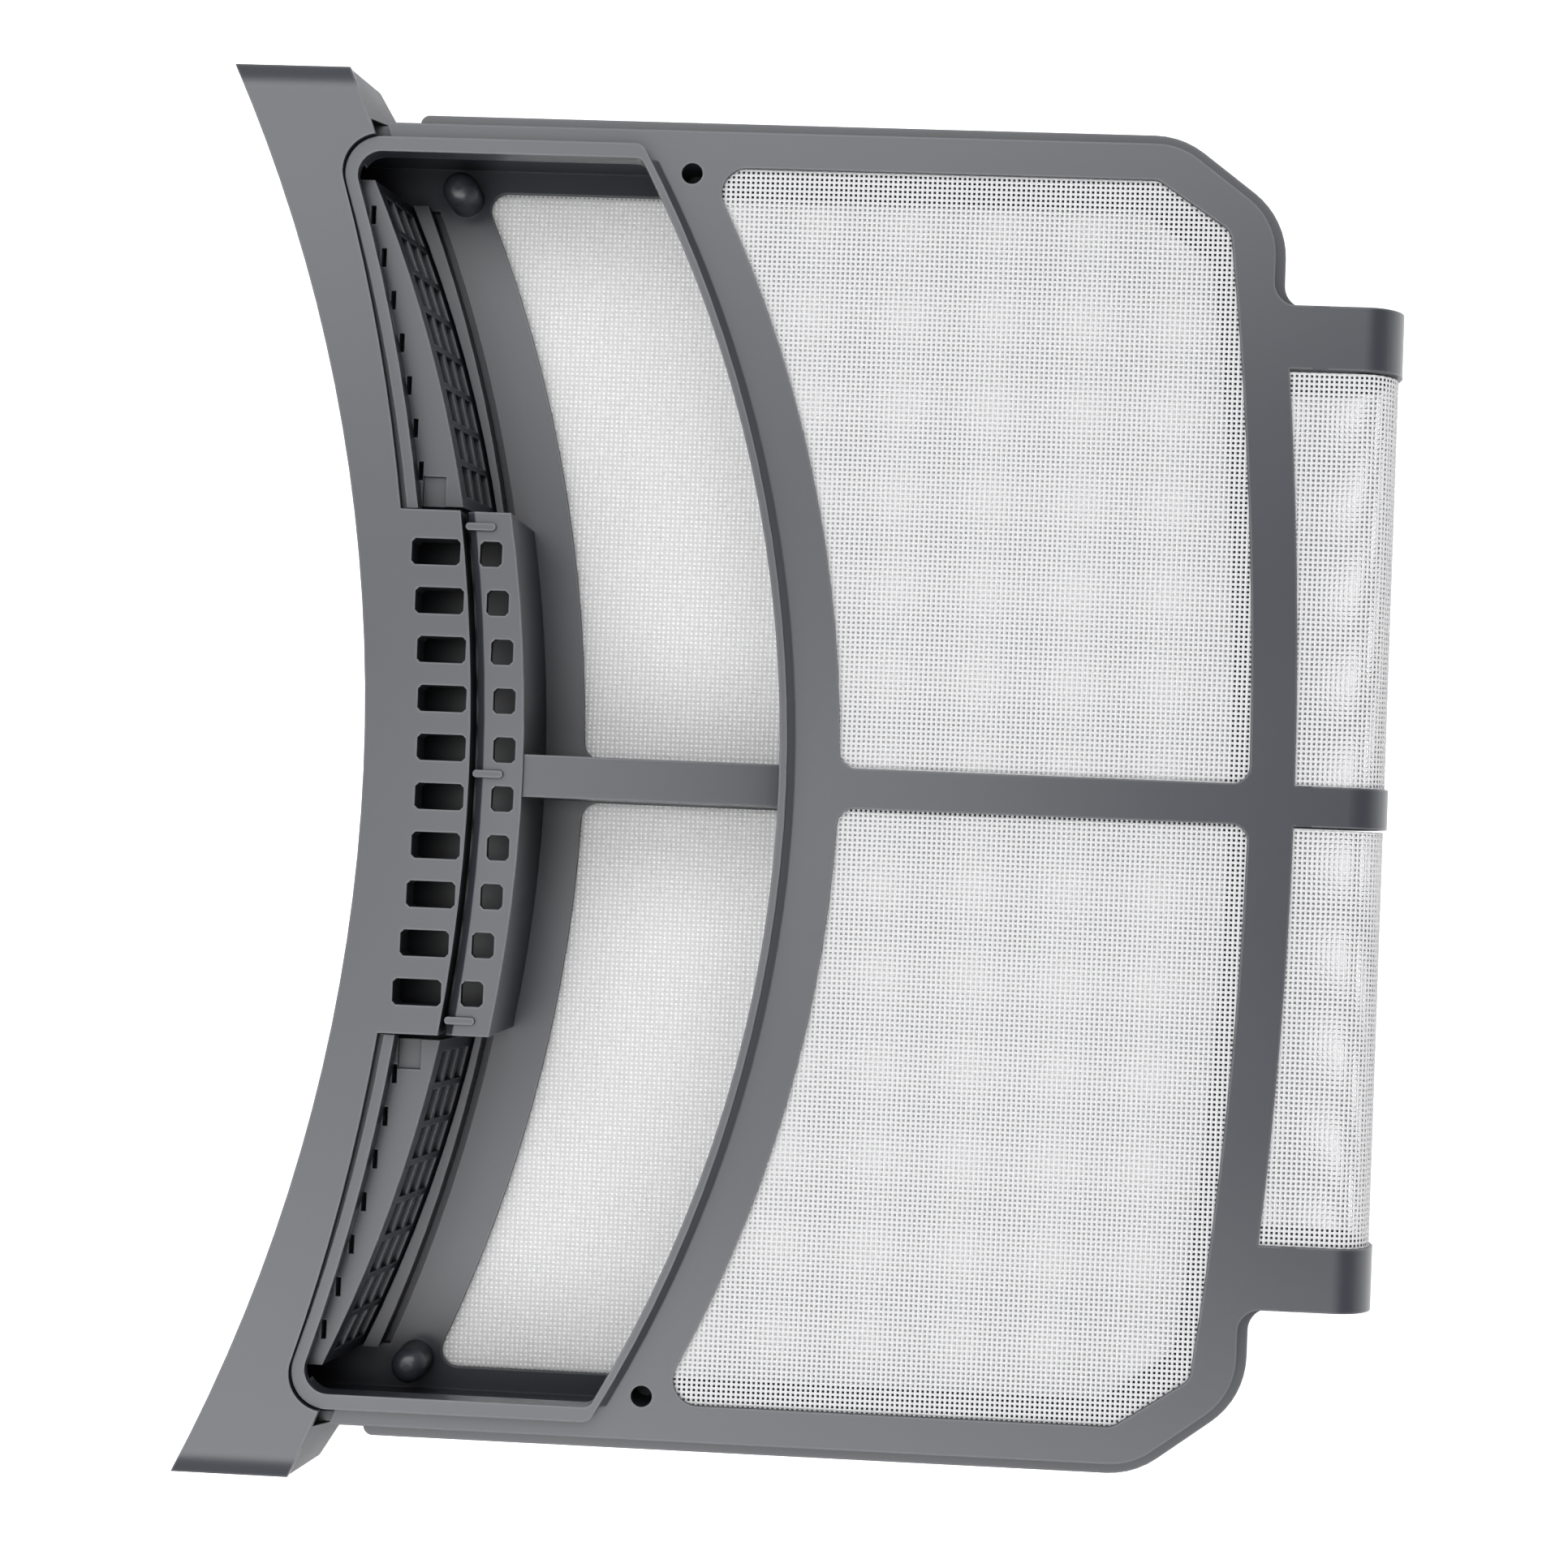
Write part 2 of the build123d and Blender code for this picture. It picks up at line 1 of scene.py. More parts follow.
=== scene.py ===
# %% [markdown]
# The lint filter of a tumble dryer is a flat cassette that opens like a book. Two
# grey plastic leaves hold white woven cloth, and the cloth and three straps run
# round one long edge as a living hinge. The rigid pieces come from CAD, so the
# script starts by loading them and noting how much room they take.

# %% Load the CAD pieces
import math

import bmesh
import bpy
from mathutils import Matrix, Vector


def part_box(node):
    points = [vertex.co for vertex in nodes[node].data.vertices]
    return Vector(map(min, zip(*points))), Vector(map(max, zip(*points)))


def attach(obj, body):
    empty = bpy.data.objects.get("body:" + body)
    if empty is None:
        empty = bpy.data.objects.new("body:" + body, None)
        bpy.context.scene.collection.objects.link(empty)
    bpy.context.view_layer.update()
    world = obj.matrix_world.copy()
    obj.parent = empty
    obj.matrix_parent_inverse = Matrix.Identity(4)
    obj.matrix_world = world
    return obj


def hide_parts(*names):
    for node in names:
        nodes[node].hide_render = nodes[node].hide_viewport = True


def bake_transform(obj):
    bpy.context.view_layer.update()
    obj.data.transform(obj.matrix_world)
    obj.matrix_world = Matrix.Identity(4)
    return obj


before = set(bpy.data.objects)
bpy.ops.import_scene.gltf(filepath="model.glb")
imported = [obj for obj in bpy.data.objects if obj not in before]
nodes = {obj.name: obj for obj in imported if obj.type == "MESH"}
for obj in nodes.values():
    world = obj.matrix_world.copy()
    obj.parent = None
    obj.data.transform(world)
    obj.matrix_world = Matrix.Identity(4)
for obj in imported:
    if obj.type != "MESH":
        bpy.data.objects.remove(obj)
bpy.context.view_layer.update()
mm = 0.001
print("CAD pieces:", ", ".join(sorted(nodes)))

# %% [markdown]
# Finishes are built from shader nodes. Writing them as sums and products in Python
# is easier to read than a list of links, so one small class wraps a socket and adds
# a Math node whenever the socket is used in an expression. The same class also
# serves the Geometry Nodes trees, which share the Math node.

# %% A socket that can be calculated with
class Wire:
    """An output socket that adds Math nodes to its tree when used in an expression."""

    def __init__(self, tree, socket=None):
        self.tree = tree
        self.socket = socket

    def node(self, kind, settings=None, inputs=None, output=0):
        """Add a node: its settings first, then the values or links of its sockets."""
        made = self.tree.nodes.new(kind)
        for name, value in (settings or {}).items():
            setattr(made, name, value)
        for name, value in (inputs or {}).items():
            if isinstance(value, Wire):
                value = [value]
            if isinstance(value, list):
                for wire in value:
                    self.tree.links.new(wire.socket, made.inputs[name])
            else:
                made.inputs[name].default_value = value
        return Wire(self.tree, made.outputs[output]) if made.outputs else made

    def also(self, output):
        """Another output of the same node."""
        return Wire(self.tree, self.socket.node.outputs[output])

    def math(self, operation, first, second=0.0):
        return self.node("ShaderNodeMath", {"operation": operation}, {0: first, 1: second})

    def vector(self, operation, first, second):
        return self.node("ShaderNodeVectorMath", {"operation": operation}, {0: first, 1: second})

    def __add__(self, other):
        return self.math("ADD", self, other)

    def __sub__(self, other):
        return self.math("SUBTRACT", self, other)

    def __rsub__(self, other):
        return self.math("SUBTRACT", other, self)

    def __mul__(self, other):
        return self.math("MULTIPLY", self, other)

    def __truediv__(self, other):
        return self.math("DIVIDE", self, other)

    def __rtruediv__(self, other):
        return self.math("DIVIDE", other, self)

    __radd__ = __add__
    __rmul__ = __mul__


print("Wire adds Math nodes for +, -, * and /")

# %% [markdown]
# Every finish starts from an empty tree and ends in one output, and most of them mix
# two colours. A Mix node keeps separate sockets for colours and for vectors, so their
# places are written down once.

# %% Start, mix and end a finish
mix_sockets = {"RGBA": (6, 7, 2), "VECTOR": (4, 5, 1)}


def new_finish(name):
    """A material with an empty tree, and a wire to build on."""
    finish = bpy.data.materials.new(name)
    finish.use_nodes = True
    finish.node_tree.nodes.clear()
    return finish, Wire(finish.node_tree)


def mixed(wire, kind, share, first, second):
    """A Mix of two colours or two vectors."""
    a, b, result = mix_sockets[kind]
    return wire.node("ShaderNodeMix", {"data_type": kind}, {0: share, a: first, b: second}, output=result)


def end_finish(wire, shader):
    wire.node("ShaderNodeOutputMaterial", inputs={"Surface": shader})


print("Ready to build finishes")

# %% [markdown]
# The leaves are moulded in satin grey plastic, and a moulded edge is never quite sharp.
# A fillet along every edge would add many faces, so a Bevel node rounds the edges in the
# light only. The edges also catch the light, and that highlight is painted into the colour.
# A drawn mask would have to be redone after each change of shape, so an occlusion node
# that looks inside the wall finds where the wall ends, which is along its edges, and
# lightens the colour there. Both are left out where the straps run into the leaves,
# because the two are one moulding.

# %% Soft edges and painted edge highlights
# A lighter grey mixed into the colour along convex edges: a painted highlight.
edge_highlight_grey = (0.115, 0.119, 0.129, 1)
edge_radius = 0.45 * mm
edge_contrast = 2.0
look_samples = 3
strap_seam_x = 100 * mm
seam_reach = 1.5 * mm


def away_from_seam(wire, along):
    """1 on a leaf or a strap, and 0 along the line where they meet."""
    return wire.math("GREATER_THAN", wire.math("ABSOLUTE", along - strap_seam_x), seam_reach)


def painted_edge_highlight(wire, colour, off_seam):
    """A colour made lighter along the edges, as a painted highlight."""
    body = wire.node(
        "ShaderNodeAmbientOcclusion",
        {"samples": look_samples, "inside": True, "only_local": True},
        {"Distance": edge_radius},
        output="AO",
    )
    highlight_share = wire.math("MINIMUM", edge_contrast * (1.0 - body), 1.0) * off_seam
    return mixed(wire, "RGBA", highlight_share, colour, edge_highlight_grey)


def soft_normal(wire, plain, off_seam):
    """The surface's direction, turned softly round the edges."""
    soft_edge = wire.node("ShaderNodeBevel", {"samples": look_samples}, {"Radius": edge_radius})
    return mixed(wire, "VECTOR", off_seam, plain, soft_edge)


print("Edges rounded by", round(edge_radius / mm, 2), "mm")

# %% [markdown]
# The top of the handle rolls away at its two ends. The solid is flat there, so the roll
# is drawn in the light: a Bump node reads a height that drops as a parabola from the
# place where the roll starts, and only on faces that look up.

# %% Rolled ends of the handle
roll_start = 135 * mm
roll_radius = 9 * mm
facing_up = 0.5


def rolled_normal(wire, plain, across, normal):
    """A direction that leans outwards past the handle's two ends."""
    height = wire.node("ShaderNodeSeparateXYZ", inputs={0: plain}, output=2)
    upward = wire.math("GREATER_THAN", height, facing_up)
    past_end = upward * wire.math("MAXIMUM", wire.math("ABSOLUTE", across) - roll_start, 0.0)
    drop = past_end * past_end * (-0.5 / roll_radius)
    return wire.node("ShaderNodeBump", inputs={"Height": drop, "Distance": 1.0, "Normal": normal})


print("Handle rolls off", round(roll_start / mm), "mm from the middle")

# %% [markdown]
# A mould gives plastic a very fine grain and a sheen that varies a little over the
# surface. Both come from noise in the piece's own space, which needs no unwrapping: the
# grain is a bump and the sheen a slow change of roughness. The pocket is much darker than
# the open faces, so an occlusion node that looks outwards mixes in an unlit black there,
# as painted shade.

# %% Grey moulded plastic
plastic_grey = (0.0305, 0.0325, 0.041, 1)
plastic_shade = (0.0275, 0.0295, 0.0375, 1)
shade_black = (0, 0, 0, 1)
plastic_ior = 1.6
plastic_roughness = 0.28
roughness_spread = 0.08
cloud_noise = {"Scale": 18.0, "Detail": 2.0}
grain_noise = {"Scale": 2600.0, "Detail": 1.0}
grain_bump = {"Strength": 0.12, "Distance": 0.05 * mm}
recess_depth = 30 * mm
recess_shade = 0.6


def moulded_plastic(name, light, dark):
    finish, wire = new_finish(name)
    place = wire.node("ShaderNodeTexCoord", output="Object")
    plain = wire.node("ShaderNodeNewGeometry", output="Normal")
    along = wire.node("ShaderNodeSeparateXYZ", inputs={0: place})
    off_seam = away_from_seam(wire, along)
    cloud = wire.node("ShaderNodeTexNoise", inputs={"Vector": place, **cloud_noise})
    grain = wire.node("ShaderNodeTexNoise", inputs={"Vector": place, **grain_noise})
    rolled = rolled_normal(wire, plain, along.also(1), soft_normal(wire, plain, off_seam))
    shader = wire.node(
        "ShaderNodeBsdfPrincipled",
        inputs={
            "Base Color": painted_edge_highlight(wire, mixed(wire, "RGBA", cloud, dark, light), off_seam),
            "Roughness": plastic_roughness + roughness_spread * cloud,
            "Normal": wire.node("ShaderNodeBump", inputs={"Height": grain, "Normal": rolled, **grain_bump}),
            "IOR": plastic_ior,
        },
    )
    # Painted shade: unlit black mixed in where the open sky within reach is hidden, most of all in the
    # pocket.
    open_sky = wire.node(
        "ShaderNodeAmbientOcclusion", {"samples": look_samples}, {"Distance": recess_depth}, output="AO"
    )
    painted_shade = wire.node("ShaderNodeBsdfDiffuse", inputs={"Color": shade_black})
    share = recess_shade * (1.0 - open_sky)
    end_finish(wire, wire.node("ShaderNodeMixShader", inputs={0: share, 1: shader, 2: painted_shade}))
    return finish


grey_plastic = moulded_plastic("grey_plastic", plastic_grey, plastic_shade)
for node in nodes.values():
    node.data.materials.clear()
    node.data.materials.append(grey_plastic)
print("Plastic on", len(nodes), "pieces")

# %% [markdown]
# The cloth is a plain weave of white polyester thread, about one hole to the
# millimetre. A flat white sheet would hide what lies behind it, and in the photograph
# the dark frame shows through the holes as dots, so real threads are made. Thread lets
# some light through. The back leaf's cloth lies on the bright floor and is lit from
# below, so its thread passes nearly all the light on, and the cloth in front of it looks
# even, because its threads and what shows between them are about as bright. The front
# leaf's thread has a greyer white than the back's: painted shade that keeps its directly
# lit threads from outshining what shows between them.

# %% White polyester thread
# The front thread's greyer white is painted shade against the light that falls on it directly.
front_shaded_white = (0.63, 0.63, 0.64, 1)
back_white = (0.832, 0.832, 0.833, 1)
front_glow = 0.2
back_glow = 0.95
thread_roughness = 0.55


def woven_thread(name, white, glow):
    """White thread that lets a share of the light through, its glow."""
    finish, wire = new_finish(name)
    shader = wire.node(
        "ShaderNodeBsdfPrincipled", inputs={"Base Color": white, "Roughness": thread_roughness}
    )
    through = wire.node("ShaderNodeBsdfTranslucent", inputs={"Color": white})
    end_finish(wire, wire.node("ShaderNodeMixShader", inputs={0: glow, 1: shader, 2: through}))
    return finish


white_mesh = woven_thread("white_mesh", front_shaded_white, front_glow)
white_mesh_thin = woven_thread("white_mesh_thin", back_white, back_glow)
print("Thread finishes:", white_mesh.name, "and", white_mesh_thin.name)

# %% [markdown]
# Threads repeat by the thousand, so Geometry Nodes make them. A tree's sizes are named
# inputs, which are set on a modifier by each socket's identifier. The result is turned
# into a plain mesh, so that it can be exported and can ride on a leaf.

# %% Start a tree, run it and keep its mesh
def new_tree(name, inputs, result):
    """A Geometry Nodes tree with named inputs and one result, and a wire from each input."""
    tree = bpy.data.node_groups.new(name, "GeometryNodeTree")
    for label, kind in inputs.items():
        tree.interface.new_socket(label, in_out="INPUT", socket_type="NodeSocket" + kind)
    tree.interface.new_socket(result, in_out="OUTPUT", socket_type="NodeSocketGeometry")
    wire = Wire(tree)
    given = wire.node("NodeGroupInput")
    return tree, wire, {label: given.also(label) for label in inputs}


def end_tree(wire, geometry, finish, result):
    """Make a tree's instances real, give them their finish and hand them out."""
    real = wire.node("GeometryNodeRealizeInstances", inputs={"Geometry": geometry})
    done = wire.node("GeometryNodeSetMaterial", inputs={"Geometry": real, "Material": finish})
    wire.node("NodeGroupOutput", inputs={result: done})


def grown(name, tree, values, start=None):
    """The mesh that a tree makes from its inputs, as an object of its own."""
    source = bpy.data.objects.new(name, start or bpy.data.meshes.new(name))
    bpy.context.collection.objects.link(source)
    modifier = source.modifiers.new(name, "NODES")
    modifier.node_group = tree
    for socket in tree.interface.items_tree:
        if socket.in_out == "INPUT" and socket.name in values:
            modifier[socket.identifier] = values[socket.name]
    ready = source.evaluated_get(bpy.context.evaluated_depsgraph_get())
    mesh = bpy.data.meshes.new_from_object(ready)
    source.modifiers.remove(modifier)
    source.data = mesh
    print(name, "has", len(mesh.polygons), "faces")
    return source


print("Ready to grow trees")

# %% [markdown]
# A net starts as a grid of points at the crossings. A ray cast at a flat pattern piece
# tells which points lie on the cloth, and the others are deleted, so the same tree can
# fill any outline. The grid's edges along one axis are then joined into long curves.

# %% Cut a grid to the cloth and pick its threads
ray_reach = 10 * mm


def cut_to_cloth(wire, pattern, geometry):
    """Keep the points that lie over the pattern piece."""
    piece = wire.node("GeometryNodeObjectInfo", inputs={"Object": pattern}, output="Geometry")
    lifted = wire.vector("ADD", wire.node("GeometryNodeInputPosition"), (0, 0, ray_reach))
    hit = wire.node(
        "GeometryNodeRaycast",
        inputs={
            "Target Geometry": piece,
            "Source Position": lifted,
            "Ray Direction": (0, 0, -1),
            "Ray Length": 2 * ray_reach,
        },
    )
    missed = wire.node("FunctionNodeBooleanMath", {"operation": "NOT"}, {0: hit})
    return wire.node(
        "GeometryNodeDeleteGeometry", {"domain": "POINT"}, {"Geometry": geometry, "Selection": missed}
    )


def threads_along(wire, pitch, geometry, axis):
    """Keep the edges that run along one axis and join them into curves."""
    near = wire.node("GeometryNodeInputMeshEdgeVertices", output="Position 1")
    gap = wire.vector("SUBTRACT", near, near.also("Position 2"))
    sideways = wire.node("ShaderNodeSeparateXYZ", inputs={0: gap}, output=1 - axis)
    crossing = wire.math("GREATER_THAN", wire.math("ABSOLUTE", sideways), 0.5 * pitch)
    kept = wire.node(
        "GeometryNodeDeleteGeometry",
        {"domain": "EDGE", "mode": "EDGE_FACE"},
        {"Geometry": geometry, "Selection": crossing},
    )
    return wire.node("GeometryNodeMeshToCurve", inputs={"Mesh": kept})


print("Rays look", round(ray_reach / mm), "mm up and down for the cloth")

# %% [markdown]
# The thread is a little flat. A round one would need many sides, and there are thousands
# of crossings, so this one is a flattened triangle. One flat side faces up and isn't
# smoothed, which gives the cloth an even light.

# %% Spin a thread along a curve
thread_sides = 3
flat_side_up = -math.pi / 2


def thread_section(wire, width, flatness):
    """A triangle of a given width, pressed flat."""
    circle = wire.node(
        "GeometryNodeCurvePrimitiveCircle",
        inputs={"Resolution": thread_sides, "Radius": width / math.sqrt(3)},
    )
    return wire.node(
        "GeometryNodeTransform",
        inputs={"Geometry": circle, "Rotation": (0, 0, flat_side_up), "Scale": flatness},
    )


def spun(wire, section, curve):
    """A thread of the given section along a curve, with its flat side up."""
    level = wire.node("GeometryNodeSetCurveNormal", {"mode": "Z_UP"}, {"Curve": curve})
    tube = wire.node(
        "GeometryNodeCurveToMesh", inputs={"Curve": level, "Profile Curve": section, "Fill Caps": True}
    )
    return wire.node("GeometryNodeSetShadeSmooth", inputs={"Geometry": tube, "Shade Smooth": False})


print("Thread has", thread_sides, "sides")

# %% [markdown]
# In a plain weave each thread goes over one neighbour and under the next. Here the edges
# that run along go up and down on a cosine, and those that run across stay straight,
# which needs far fewer faces and looks the same from a step away.

# %% Geometry Nodes: weave a net
weave_inputs = {
    "Pattern piece": "Object",
    "Corner": "Vector",
    "Count along": "Int",
    "Count across": "Int",
    "Pitch": "Float",
    "Thread": "Float",
    "Flatness": "Vector",
    "Rise": "Float",
    "Finish": "Material",
}


def weave_tree():
    tree, wire, given = new_tree("weave", weave_inputs, "Net")
    pitch = given["Pitch"]
    long = (given["Count along"] - 1.0) * pitch
    wide = (given["Count across"] - 1.0) * pitch
    grid = wire.node(
        "GeometryNodeMeshGrid",
        inputs={
            "Size X": long,
            "Size Y": wide,
            "Vertices X": given["Count along"],
            "Vertices Y": given["Count across"],
        },
    )
    spot = wire.node("ShaderNodeSeparateXYZ", inputs={0: wire.node("GeometryNodeInputPosition")})
    step = (spot + 0.5 * long + spot.also(1) + 0.5 * wide) / pitch
    over_under = wire.math("COSINE", math.pi * step) * given["Rise"]
    wave = wire.node("ShaderNodeCombineXYZ", inputs={2: over_under})
    waved = wire.node("GeometryNodeSetPosition", inputs={"Geometry": grid, "Offset": wave})
    middle = wire.node("ShaderNodeCombineXYZ", inputs={0: 0.5 * long, 1: 0.5 * wide})
    centre = wire.vector("ADD", given["Corner"], middle)

    def curves(geometry, axis):
        moved = wire.node("GeometryNodeSetPosition", inputs={"Geometry": geometry, "Offset": centre})
        cut = cut_to_cloth(wire, given["Pattern piece"], moved)
        return threads_along(wire, pitch, cut, axis)

    section = thread_section(wire, given["Thread"], given["Flatness"])
    weft = spun(wire, section, curves(waved, 0))
    straight = wire.node(
        "GeometryNodeResampleCurve", {"mode": "COUNT"}, {"Curve": curves(grid, 1), "Count": 2}
    )
    warp = spun(wire, section, straight)
    joined = wire.node("GeometryNodeJoinGeometry", inputs={"Geometry": [weft, warp]})
    end_tree(wire, joined, given["Finish"], "Net")
    return tree


weave = weave_tree()
print("Weave tree:", len(weave.nodes), "nodes")

# %% [markdown]
# Each leaf's cloth is cut to the outline of the CAD screen, which has the arched side
# by the pocket and the cut-off corners by the fold. The outline is the longest loop of
# open edges round the CAD screen's lower face, so the cloth follows the CAD by itself.

# %% Outlines of the CAD screens
weld_gap = 0.001 * mm
level_slack = 0.01 * mm


def loop_length(loop):
    return sum((a - b).length for a, b in zip(loop, loop[1:] + loop[:1]))


def outline_of(node):
    """Outer edge of a CAD screen's lower face, as a list of points."""
    sheet = bmesh.new()
    sheet.from_mesh(nodes[node].data)
    bmesh.ops.remove_doubles(sheet, verts=sheet.verts, dist=weld_gap)
    low = min(corner.co.z for corner in sheet.verts) + level_slack
    bottom = {face for face in sheet.faces if max(v.co.z for v in face.verts) < low}
    rim = {edge for face in bottom for edge in face.edges}
    rim = {edge for edge in rim if sum(face in bottom for face in edge.link_faces) == 1}
    loops = []
    while rim:
        edge = rim.pop()
        first, corner = edge.verts
        loop = [first.co.copy(), corner.co.copy()]
        while True:
            onward = [e for e in corner.link_edges if e in rim]
            if not onward:
                break
            rim.discard(onward[0])
            corner = onward[0].other_vert(corner)
            if corner is first:
                break
            loop.append(corner.co.copy())
        loops.append(loop)
    sheet.free()
    return max(loops, key=loop_length)


front_points = outline_of("front_screen")
back_points = outline_of("back_screen")
print("Outlines of", len(front_points), "and", len(back_points), "points")

# %% [markdown]
# A pattern piece is a flat face in the shape of the cloth, like a tailor's. The rays of
# the weave tree are cast at it, and its area is that of the cloth laid flat.

# %% Pattern pieces
def pattern_piece(name, points):
    """A flat face with the given corners, as an object."""
    mesh = bpy.data.meshes.new(name)
    mesh.from_pydata(points, [], [range(len(points))])
    mesh.update()
    piece = bpy.data.objects.new(name, mesh)
    bpy.context.collection.objects.link(piece)
    return piece


def polygon_area(points):
    pairs = zip(points, points[1:] + points[:1])
    return abs(sum(a.x * b.y - b.x * a.y for a, b in pairs)) / 2


print("Front cloth of", round(polygon_area(front_points) / mm**2), "square millimetres")

# %% [markdown]
# The pitch was counted in the photograph. Thread is given by its width, its flatness and
# its finish, and the back leaf's is wider. A net starts at the outline's lower corner and
# has as many threads as fit, so that the tree's inputs follow from the outline.

# %% Weave a net to an outline
thread_pitch = 0.98 * mm
thread_rise = 0.10 * mm
front_thread = (0.50 * mm, 0.28, white_mesh)
back_thread = (0.72 * mm, 0.25, white_mesh_thin)


def woven(name, points, height, thread):
    """A net that fills a flat outline at a given height, its flat size and its area."""
    width, flatness, finish = thread
    low = Vector((min(p.x for p in points), min(p.y for p in points), height))
    high = Vector((max(p.x for p in points), max(p.y for p in points), height))
    piece = pattern_piece(name + "_pattern", [(p.x, p.y, height) for p in points])
    values = {
        "Pattern piece": piece,
        "Corner": low,
        "Count along": math.floor((high.x - low.x) / thread_pitch) + 1,
        "Count across": math.floor((high.y - low.y) / thread_pitch) + 1,
        "Pitch": thread_pitch,
        "Thread": width,
        "Flatness": (flatness, 1, 1),
        "Rise": thread_rise,
        "Finish": finish,
    }
    net = grown(name, weave, values)
    bpy.data.objects.remove(piece)
    return net, (high.x - low.x, high.y - low.y), polygon_area(points)


print("Threads", round(thread_pitch / mm, 2), "mm apart")

# %% [markdown]
# The net is woven at the height of the CAD screen. The back leaf's cloth has too many
# crossings for one piece, so it is woven in an upper and a lower part that meet under
# the centre rib, where the join is hidden.

# %% Weave the two leaves' cloth
def half_of(points, side):
    """The part of an outline on one side of the centre rib, cut off straight along it."""
    sheet = bmesh.new()
    sheet.faces.new([sheet.verts.new(point) for point in points])
    parts = list(sheet.verts) + list(sheet.edges) + list(sheet.faces)
    bmesh.ops.bisect_plane(
        sheet, geom=parts, plane_co=(0, 0, 0), plane_no=(0, side, 0), clear_inner=True
    )
    kept = max(sheet.faces, key=lambda face: face.calc_area())
    half_points = [corner.co.copy() for corner in kept.verts]
    sheet.free()
    return half_points


def mid_height(node):
    low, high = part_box(node)
    return (low[2] + high[2]) / 2


cloths = {
    "front_cloth": ("front_leaf", "front_screen", front_points, front_thread),
    "back_cloth_upper": ("back_leaf", "back_screen", half_of(back_points, 1), back_thread),
    "back_cloth_lower": ("back_leaf", "back_screen", half_of(back_points, -1), back_thread),
}
for name, (leaf, node, points, thread) in cloths.items():
    net, flat, area = woven(name, points, mid_height(node), thread)
    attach(net, leaf)
    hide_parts(node)

# %% [markdown]
# Between the straps the cloth goes round the fold from one leaf to the other. It is
# woven flat with the same tree, and a second tree then wraps it along a path: each
# point goes as far along the path as it lay along the flat cloth, and as far off it.

# %% Geometry Nodes: wrap a net along a path
wrap_inputs = {"Net": "Geometry", "Path": "Object", "Finish": "Material"}


def wrap_tree():
    tree, wire, given = new_tree("wrap", wrap_inputs, "Wrapped")
    path = wire.node("GeometryNodeObjectInfo", inputs={"Object": given["Path"]}, output="Geometry")
    along = wire.node("ShaderNodeSeparateXYZ", inputs={0: wire.node("GeometryNodeInputPosition")})
    across, off = along.also(1), along.also(2)
    sample = wire.node(
        "GeometryNodeSampleCurve",
        {"mode": "LENGTH", "use_all_curves": True},
        {"Curves": path, "Length": along},
        output="Position",
    )
    outward = wire.vector("CROSS_PRODUCT", (0, -1, 0), sample.also("Tangent"))
    lift = wire.node("ShaderNodeVectorMath", {"operation": "SCALE"}, {0: outward, "Scale": off})
    side = wire.node("ShaderNodeCombineXYZ", inputs={1: across})
    total = wire.vector("ADD", wire.vector("ADD", sample, lift), side)
    bent = wire.node("GeometryNodeSetPosition", inputs={"Geometry": given["Net"], "Position": total})
    end_tree(wire, bent, given["Finish"], "Wrapped")
    return tree


wrap = wrap_tree()
print("Wrap tree:", len(wrap.nodes), "nodes")

# %% [markdown]
# The path is the middle line of the CAD screen round the fold: in over the front leaf,
# two quarter turns with a straight run down between them, and back under the rear leaf.

# %% Path round the fold
fold_radius = 8.2 * mm
cloth_depth = 0.3 * mm
turn_steps = 12
hinge_low, hinge_high = (Vector(corner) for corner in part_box("hinge_screen"))


def fold_path():
    """The path as a curve, and its length."""
    top, base = hinge_high.z - cloth_depth, hinge_low.z + cloth_depth
    middle = hinge_high.x - cloth_depth - fold_radius
    points = [Vector((hinge_low.x, 0, top))]
    for level, begin in ((top - fold_radius, 0.5), (base + fold_radius, 0.0)):
        for i in range(turn_steps + 1):
            turn = math.pi * (begin - 0.5 * i / turn_steps)
            reach, rise = fold_radius * math.cos(turn), fold_radius * math.sin(turn)
            points.append(Vector((middle + reach, 0, level + rise)))
    points.append(Vector((hinge_low.x, 0, base)))
    curve = bpy.data.curves.new("fold_path", "CURVE")
    curve.dimensions = "3D"
    line = curve.splines.new("POLY")
    line.points.add(len(points) - 1)
    for spot, point in zip(line.points, points):
        spot.co = (*point, 1)
    path = bpy.data.objects.new("fold_path", curve)
    bpy.context.collection.objects.link(path)
    return path, sum((a - b).length for a, b in zip(points, points[1:]))


path, path_length = fold_path()
print("Path of", round(path_length / mm, 1), "mm")

# %% [markdown]
# The fold's cloth fills the two gaps between the straps, and reaches from one leaf to the other.

# %% Wrap the cloth round the fold
inner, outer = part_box("hinge_strap_centre")[1][1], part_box("hinge_strap_upper")[0][1]
for name, side in (("fold_cloth_upper", 1), ("fold_cloth_lower", -1)):
    low_y, high_y = sorted((side * inner, side * outer))
    corners = ((0, low_y), (path_length, low_y), (path_length, high_y), (0, high_y))
    corners = [Vector((x, y, 0)) for x, y in corners]
    flat_net, flat, area = woven(name + "_flat", corners, 0.0, front_thread)
    net = grown(name, wrap, {"Path": path, "Finish": white_mesh}, start=flat_net.data)
    bpy.data.objects.remove(flat_net)
    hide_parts("hinge_screen")
    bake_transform(net)
bpy.data.objects.remove(path)
